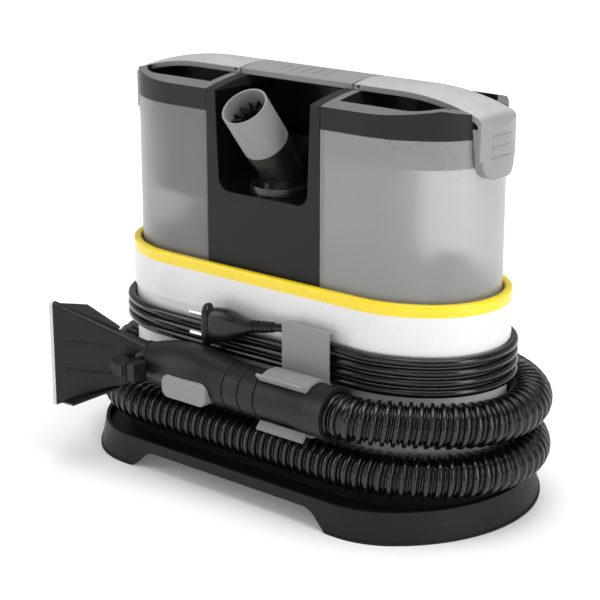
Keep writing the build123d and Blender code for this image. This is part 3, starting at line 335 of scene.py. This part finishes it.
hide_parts("cord_coil", "cord_tail_plug", "cord_tail_rear")


# ---- Contour plug --------------------------------------------------------------------------------
# One moulding of hard black vinyl over two nickel-plated pins, with a ribbed sleeve over the lead
# and a soft grommet where the lead comes out of the body.
def dress(finish, *nodes):
    for node in nodes:
        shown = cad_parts[node]
        if not shown.material_slots:
            shown.data.materials.append(None)
        for slot in shown.material_slots:
            slot.material = finish.material


plug_vinyl = Finish("plug_vinyl", IOR=1.5, Specular_IOR_Level=0.3, Coat_Weight=0.1,
                    Coat_Roughness=0.1)
plug_film = plug_vinyl.cloud(70.0, 3.0)
plug_vinyl.tint(plug_film, grey(0.003), grey(0.006), 0.22, 0.34)
plug_vinyl.relief(plug_vinyl.cloud(1100.0), 0.00008, 0.5, 0.0006)
dress(plug_vinyl, "plug_strain_relief", "cord_grommet")


def lofted(name, stations, finish, body):
    """A closed skin through rounded sections: each one's place, half width and half height."""
    power, sides = 2.6, 48
    turned = np.linspace(0, 2 * math.pi, sides, endpoint=False)
    across = np.sign(np.cos(turned)) * np.abs(np.cos(turned)) ** (2 / power)
    upward = np.sign(np.sin(turned)) * np.abs(np.sin(turned)) ** (2 / power)
    verts = [(x, y + a * half_y, z + u * half_z)
             for x, y, z, half_y, half_z in stations for a, u in zip(across, upward)]
    faces = [(i * sides + j, i * sides + (j + 1) % sides,
              (i + 1) * sides + (j + 1) % sides, (i + 1) * sides + j)
             for i in range(len(stations) - 1) for j in range(sides)]
    last = (len(stations) - 1) * sides
    faces += [tuple(range(sides))[::-1], tuple(range(last, last + sides))]
    return to_object(name, np.array(verts), faces, finish, body)


# Along the plug, in millimetres: the place from the middle, the half height and the half width.
plug_shape = [(-46.0, 16.4, 5.6), (-45.4, 18.4, 6.8), (-44.6, 19.2, 7.2),
              (-41.8, 19.4, 7.3), (-41.0, 18.6, 6.8), (-40.8, 14.0, 5.4),
              (-38.4, 13.6, 5.4), (-38.1, 15.2, 6.6), (-36.5, 15.8, 7.1), (-30.0, 15.8, 7.4),
              (-22.0, 15.0, 7.5), (-14.0, 12.8, 7.4), (-7.0, 9.6, 7.0), (-1.0, 7.2, 6.6),
              (4.0, 6.3, 6.2), (5.6, 5.8, 5.7), (5.9, 4.6, 4.6)]
plug_face, plug_y, plug_z, plug_outward, plug_rise = -46, -92.6, 142.8, 0.03, 0.151
stations = [(x / 1000, (plug_y + plug_outward * (x - plug_face)) / 1000,
             (plug_z + plug_rise * (x - plug_face)) / 1000, half_y / 1000, half_z / 1000)
            for x, half_z, half_y in plug_shape]
plug = lofted("contour_plug", stations, plug_vinyl, "machine")
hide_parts("plug_body")

pin_nickel = Finish("pin_nickel", Metallic=1.0)
pin_drawn = pin_nickel.cloud(260.0, 4.0, 0.6, (0.15, 1, 1))
pin_nickel.tint(pin_drawn, grey(0.72, 0.02), grey(0.90, 0.01), 0.14, 0.26)
pin_nickel.relief(pin_drawn, 0.00003, 0.5)
dress(pin_nickel, "plug_pins")


# ---- Foot ----------------------------------------------------------------------------------------
# A wide tray of black polypropylene with an arched front edge and fine moulded grain, on four
# rubber pads. Zinc-plated screws from below hold it to the body.
foot_plastic = Finish("foot_plastic", IOR=1.48, Specular_IOR_Level=0.22)
foot_grain = foot_plastic.cloud(1500.0, 3.0, 0.6)
foot_tone = foot_plastic.cloud(16.0, 4.0)
scuffed = foot_plastic.between(foot_plastic.cloud(38.0, 6.0, 0.7, (1, 1, 3)), 0.60, 0.74)
foot_shade = foot_plastic.mix(foot_tone, grey(0.009), grey(0.014))
foot_plastic.wire("Base Color", foot_plastic.mix(scuffed * 0.3, foot_shade, grey(0.045)))
foot_plastic.wire("Roughness", foot_plastic.sheen(foot_tone, 0.42, 0.54))
foot_plastic.relief(foot_grain, 0.00016, 0.6, 0.0007)
dress(foot_plastic, "base_tray")

pad_rubber = Finish("pad_rubber", IOR=1.45)
pad_dust = pad_rubber.cloud(120.0, 5.0, 0.7)
pad_rubber.tint(pad_dust, grey(0.012), grey(0.040, 0.05), 0.70, 0.90)
pad_rubber.relief(pad_rubber.cloud(800.0), 0.0002, 0.6)
dress(pad_rubber, "rubber_feet", "waste_lid_seal", "clean_lid_seal", "socket_seal")

zinc = Finish("zinc_screws", Metallic=1.0)
zinc_bloom = zinc.cloud(420.0, 4.0, 0.65)
zinc.tint(zinc_bloom, grey(0.42), grey(0.62, 0.02), 0.28, 0.46)
zinc.relief(zinc_bloom, 0.00005, 0.6)
dress(zinc, "base_screws", "bracket_screws", "back_cover_screws", "waste_lever_pin",
      "clean_lever_pin", "trigger_spring", "outlet_spring", "pump_plunger")


# ---- Body shell and ring -------------------------------------------------------------------------
# The body is a white ABS shell with a satin gloss and a slight waist for the lead. The ring that
# caps it is a separate yellow moulding, pressed down over the shell's edge.
shell_white = Finish("shell_white", IOR=1.5, Coat_Weight=0.15, Coat_Roughness=0.2)
shell_tone = shell_white.cloud(9.0, 3.0)
handled = shell_white.between(shell_white.cloud(30.0, 6.0, 0.68), 0.62, 0.78)
shell_shade = shell_white.mix(shell_tone, grey(0.750, 0.004), grey(0.780, 0.004))
shell_white.wire("Base Color", shell_white.mix(handled * 0.25, shell_shade, grey(0.72, 0.015)))
shell_white.wire("Roughness", shell_white.sheen(shell_tone, 0.26, 0.34))
shell_white.relief(shell_white.cloud(700.0, 2.0), 0.00005, 0.5, 0.0008)
dress(shell_white, "body_shell")

ring_yellow = Finish("ring_yellow", IOR=1.5, Coat_Weight=0.3, Coat_Roughness=0.12)
ring_tone = ring_yellow.cloud(22.0, 4.0)
ring_yellow.tint(ring_tone, (0.90, 0.655, 0.004, 1), (0.97, 0.735, 0.010, 1), 0.24, 0.34)
ring_yellow.relief(ring_yellow.cloud(600.0, 2.0), 0.00005, 0.5)
dress(ring_yellow, "trim_ring")


# ---- Tower ---------------------------------------------------------------------------------------
# The charcoal housing between the tanks, with a fine eroded grain outside. The niche for the elbow
# is glossy from a polished core, and its colour is painted nearly black as painted shade in the
# recess. A screwed cover closes the back, and the grey handle on top is of the same nylon as the
# collar, the bracket, the trigger and the two buttons.
tower_plastic = Finish("tower_plastic", IOR=1.48, Specular_IOR_Level=0.22)
# The polish and the painted shade start just inside the niche's mouth, side walls and roof, and
# fade over these edges.
mouth_edge, wall_edge, roof_edge = (-0.0684, -0.0672), (0.0549, 0.0552), (0.3440, 0.3452)
across = tower_plastic.along("X")
inside_mouth = tower_plastic.between(tower_plastic.along("Y"), *mouth_edge)
inside_left = tower_plastic.between(across, -wall_edge[1], -wall_edge[0])
inside_right = tower_plastic.between(across, *wall_edge, 1.0, 0.0)
below_roof = tower_plastic.between(tower_plastic.along("Z"), *roof_edge, 1.0, 0.0)
niche_gloss_and_painted_shade = inside_mouth * (inside_left * inside_right) * below_roof
tower_tone = tower_plastic.cloud(14.0, 4.0)
tower_shade = tower_plastic.mix(tower_tone, grey(0.012), grey(0.017))
# Inside the niche the colour is painted nearly black: painted shade in the recess, together with
# the real gloss.
tower_plastic.wire("Base Color", tower_plastic.mix(niche_gloss_and_painted_shade, tower_shade, grey(0.004)))
tower_plastic.wire("Roughness", tower_plastic.sheen(tower_tone, 0.44, 0.54)
                   - niche_gloss_and_painted_shade * 0.27)
tower_grain = tower_plastic.cloud(1300.0, 3.0, 0.6)
tower_plastic.relief(tower_grain * (1 - niche_gloss_and_painted_shade), 0.00012, 0.5, 0.0007)
dress(tower_plastic, "tower_housing", "tower_back_cover")

bar_grey = Finish("bar_grey", IOR=1.48, Specular_IOR_Level=0.45)
bar_tone = bar_grey.cloud(18.0, 4.0)
bar_shade = bar_grey.mix(bar_tone, grey(0.235), grey(0.265))
rubbed = bar_grey.between(bar_grey.cloud(46.0, 6.0, 0.7, (0.4, 1, 1)), 0.60, 0.76)
bar_grey.wire("Base Color", bar_grey.mix(rubbed * 0.3, bar_shade, grey(0.35)))
bar_grey.wire("Roughness", bar_grey.sheen(bar_tone, 0.36, 0.46))
bar_grey.relief(bar_grey.cloud(1200.0, 3.0, 0.6), 0.0001, 0.5, 0.0008)
dress(bar_grey, "suction_button", "spray_button", "centre_handle", "elbow_collar",
      "storage_bracket", "trigger")


# ---- Levers --------------------------------------------------------------------------------------
# Grey glass-filled nylon straps that turn on steel pins beside the tower, run over the lids and
# clip over the ends of the tanks. Their upward faces are a little glossier and are painted paler in
# patches, as painted light from above.
lever_grey = Finish("lever_grey", IOR=1.48, Specular_IOR_Level=0.45)
lever_tone = lever_grey.cloud(20.0, 4.0)
lever_top_gloss_and_painted_light = lever_grey.between(lever_grey.facing("Z"), 0.55, 0.98)
lever_shade = lever_grey.mix(lever_tone, grey(0.255), grey(0.285))
patches = lever_grey.between(lever_grey.cloud(34.0, 6.0, 0.7), 0.3, 0.8, 0.6, 1.0)
# Upward faces are painted paler in patches: painted light from above.
lever_grey.wire("Base Color", lever_grey.mix(lever_top_gloss_and_painted_light * patches, lever_shade, grey(0.46)))
lever_grey.wire("Roughness", lever_grey.sheen(lever_tone, 0.34, 0.44)
                - lever_top_gloss_and_painted_light * 0.04)
lever_grey.relief(lever_grey.cloud(1200.0, 3.0, 0.6), 0.0001, 0.5, 0.0009)
dress(lever_grey, "waste_lever", "clean_lever")


# ---- Lids ----------------------------------------------------------------------------------------
# Charcoal lids with a finger pocket under each lever. The sides and the pocket are dark and matt,
# and the crowned top is a little glossier and painted lighter as painted light from above.
lid_plastic = Finish("lid_plastic", IOR=1.48, Specular_IOR_Level=0.22)
lid_tone = lid_plastic.cloud(16.0, 4.0)
upturned, crown_level = (0.55, 0.75), (0.3400, 0.3415)
lid_crown_gloss_and_painted_light = (lid_plastic.between(lid_plastic.facing("Z"), *upturned)
           * lid_plastic.between(lid_plastic.along("Z"), *crown_level))
lid_side = lid_plastic.mix(lid_tone, grey(0.012), grey(0.017))
lid_painted_light_grey = lid_plastic.mix(lid_tone, grey(0.13), grey(0.16))
# The up-facing crown is painted a lighter grey: painted light from above on the same charcoal
# plastic.
lid_plastic.wire("Base Color", lid_plastic.mix(lid_crown_gloss_and_painted_light, lid_side, lid_painted_light_grey))
lid_plastic.wire("Roughness", lid_plastic.sheen(lid_tone, 0.42, 0.52)
                 - lid_crown_gloss_and_painted_light * 0.08)
lid_plastic.relief(lid_plastic.cloud(1300.0, 3.0, 0.6), 0.0001, 0.5, 0.0008)
dress(lid_plastic, "waste_lid", "clean_lid")


# ---- Tanks ---------------------------------------------------------------------------------------
# Smoked styrene tubs with thick walls, the clean one paler. The plastic is hazed by the tool, so
# what is inside shows as soft dark shapes: the separator and float cage, and the outlet filter.
tank_smoke = Finish("tank_smoke", IOR=1.49, Transmission_Weight=0.86, Specular_IOR_Level=0.5)
tank_streak = tank_smoke.cloud(9.0, 2.0, 0.4, (1, 1, 0.3))
tank_haze = tank_smoke.cloud(12.0, 3.0)
tank_tone = tank_smoke.mix(tank_streak, grey(0.54), grey(0.66))
tank_smoke.wire("Base Color", tank_smoke.mix(tank_haze * 0.3, tank_tone, grey(0.50)))
tank_smoke.wire("Roughness", tank_smoke.sheen(tank_streak, 0.28, 0.36))
tank_smoke.relief(tank_smoke.cloud(40.0, 1.0), 0.00004, 0.4)
dress(tank_smoke, "waste_tank")

clean_smoke = Finish("clean_tank_smoke", IOR=1.49, Transmission_Weight=0.80)
clean_streak = clean_smoke.cloud(9.0, 2.0, 0.4, (1, 1, 0.3))
clean_smoke.tint(clean_streak, grey(0.72, -0.008), grey(0.84, -0.008), 0.24, 0.32)
clean_smoke.relief(clean_smoke.cloud(40.0, 1.0), 0.00004, 0.4)
dress(clean_smoke, "clean_tank")

inner_smoke = Finish("inner_smoke", IOR=1.48, Specular_IOR_Level=0.4)
settled = inner_smoke.between(inner_smoke.cloud(24.0, 6.0, 0.7, (1, 1, 0.5)), 0.42, 0.70)
inner_smoke.wire("Base Color", inner_smoke.mix(settled, grey(0.055), grey(0.10, 0.03)))
inner_smoke.wire("Roughness", inner_smoke.between(settled, 0, 1, 0.38, 0.55))
inner_smoke.relief(inner_smoke.cloud(900.0), 0.0001, 0.5)
dress(inner_smoke, "waste_separator", "float_cage", "outlet_filter")

natural = Finish("natural_plastic", IOR=1.48)
natural_tone = natural.cloud(60.0, 4.0)
natural.tint(natural_tone, grey(0.58, 0.02), grey(0.70, 0.02), 0.40, 0.52)
natural.relief(natural.cloud(900.0), 0.0001, 0.5)
dress(natural, "float", "outlet_plunger", "spray_valve", "pump_body")


# ---- Elbow ---------------------------------------------------------------------------------------
# A swept black pipe in the niche's socket, with a grey collar on its end. A ring of soft black fins
# inside the collar wipes what is pushed into it.
elbow_black = Finish("elbow_black", IOR=1.5, Coat_Weight=0.2, Coat_Roughness=0.15)
elbow_film = elbow_black.cloud(50.0, 4.0)
elbow_black.tint(elbow_film, grey(0.007), grey(0.014), 0.24, 0.36)
elbow_black.relief(elbow_black.cloud(1000.0), 0.00008, 0.5, 0.0006)
dress(elbow_black, "elbow_pipe")

fin_rubber = Finish("fin_rubber", IOR=1.45)
fin_tone = fin_rubber.cloud(200.0, 4.0)
fin_rubber.tint(fin_tone, grey(0.006), grey(0.014), 0.55, 0.75)
fin_rubber.relief(fin_tone, 0.0002, 0.5)
dress(fin_rubber, "brush_insert")


# ---- Hand tool -----------------------------------------------------------------------------------
# Two satin black shells screwed together round the spray valve, a cuff that turns on the hose, and
# a flat suction fan with its spray jet, nut and pale wiping lip.
tool_black = Finish("tool_black", IOR=1.48, Specular_IOR_Level=0.3)
tool_tone = tool_black.cloud(24.0, 4.0)
tool_worn = tool_black.between(tool_black.cloud(55.0, 6.0, 0.7), 0.60, 0.78)
tool_shade = tool_black.mix(tool_tone, grey(0.008), grey(0.012))
tool_black.wire("Base Color", tool_black.mix(tool_worn * 0.3, tool_shade, grey(0.024)))
tool_black.wire("Roughness", tool_black.sheen(tool_tone, 0.36, 0.46))
tool_black.relief(tool_black.cloud(1300.0, 3.0, 0.6), 0.0001, 0.5, 0.0007)
dress(tool_black, "tool_shell_front", "tool_shell_back", "swivel_cuff", "nozzle", "jet_nut",
      "spray_jet", "hose_connector")

lip_pale = Finish("lip_pale", IOR=1.48)
lip_tone = lip_pale.cloud(150.0, 4.0)
lip_pale.tint(lip_tone, grey(0.55), grey(0.68), 0.38, 0.50)
lip_pale.relief(lip_pale.cloud(900.0), 0.0001, 0.5)
dress(lip_pale, "nozzle_lip")

# Two thin stiffening ribs on the fan's front face, which tapers from the neck to the mouth.
fan_neck, fan_reach, fan_out = (-0.0982, -0.1045), (-0.891, -0.454), Vector((0.454, -0.891, 0))
fan_start, fan_length, fan_half, fan_thinning = 0.034, 0.060, 0.0065, 0.0020
# Along a rib: the distance from the neck and the half width. Its height is a share of its width.
rib_stations = ((0.036, 0.0003), (0.039, 0.0011), (0.082, 0.0011), (0.085, 0.0003))
rib_heights, rib_sides, rib_rise = (0.1132, 0.0866), 8, 0.8
ribs, rib_skin = [], []
for height in rib_heights:
    for distance, half in rib_stations:
        middle = Vector((fan_neck[0] + fan_reach[0] * distance,
                         fan_neck[1] + fan_reach[1] * distance, height))
        middle += fan_out * (fan_half - (distance - fan_start) / fan_length * fan_thinning)
        for j in range(rib_sides):
            turned = 2 * math.pi * j / rib_sides
            ribs.append(middle + fan_out * half * rib_rise * math.cos(turned)
                        + Vector((0, 0, half * math.sin(turned))))
for first in range(0, len(ribs), rib_sides):
    if first // rib_sides % len(rib_stations) < len(rib_stations) - 1:
        for j in range(rib_sides):
            a, b = first + j, first + (j + 1) % rib_sides
            rib_skin.append((a, b, b + rib_sides, a + rib_sides))
stiffeners = to_object("fan_stiffeners", np.array(ribs), rib_skin, tool_black, "nozzle")


# ---- Motor, pump and board -----------------------------------------------------------------------
# The works inside the body: a die-cast blower housing with its rotor, the water pump and its
# plunger, the air duct up to the tower and the control board.
cast_metal = Finish("cast_metal", Metallic=1.0)
cast_grain = cast_metal.cloud(340.0, 5.0, 0.7)
cast_metal.tint(cast_grain, grey(0.46), grey(0.58), 0.42, 0.60)
cast_metal.relief(cast_grain, 0.0002, 0.6)
dress(cast_metal, "motor_housing", "motor_rotor")

duct_plastic = Finish("duct_plastic", IOR=1.48)
duct_tone = duct_plastic.cloud(60.0, 4.0)
duct_plastic.tint(duct_tone, grey(0.018), grey(0.030), 0.50, 0.62)
duct_plastic.relief(duct_plastic.cloud(900.0), 0.0001, 0.5)
dress(duct_plastic, "air_duct")

board_green = Finish("board_green", IOR=1.5)
track = board_green.node("ShaderNodeTexBrick", {"offset": 0.5}, {
    "Vector": board_green.place(), "Scale": 90.0, "Mortar Size": 0.06}, "Fac")
board_top = (0.0452, 0.0456)
parts_above = board_green.between(board_green.along("Z"), *board_top)
lacquer = board_green.mix(track, (0.010, 0.085, 0.030, 1), (0.035, 0.17, 0.060, 1))
board_green.wire("Base Color", board_green.mix(parts_above, lacquer, grey(0.02)))
board_green.wire("Roughness", board_green.sheen(board_green.cloud(200.0), 0.30, 0.45))
board_green.relief(track, 0.0001, 0.6)
dress(board_green, "control_board")
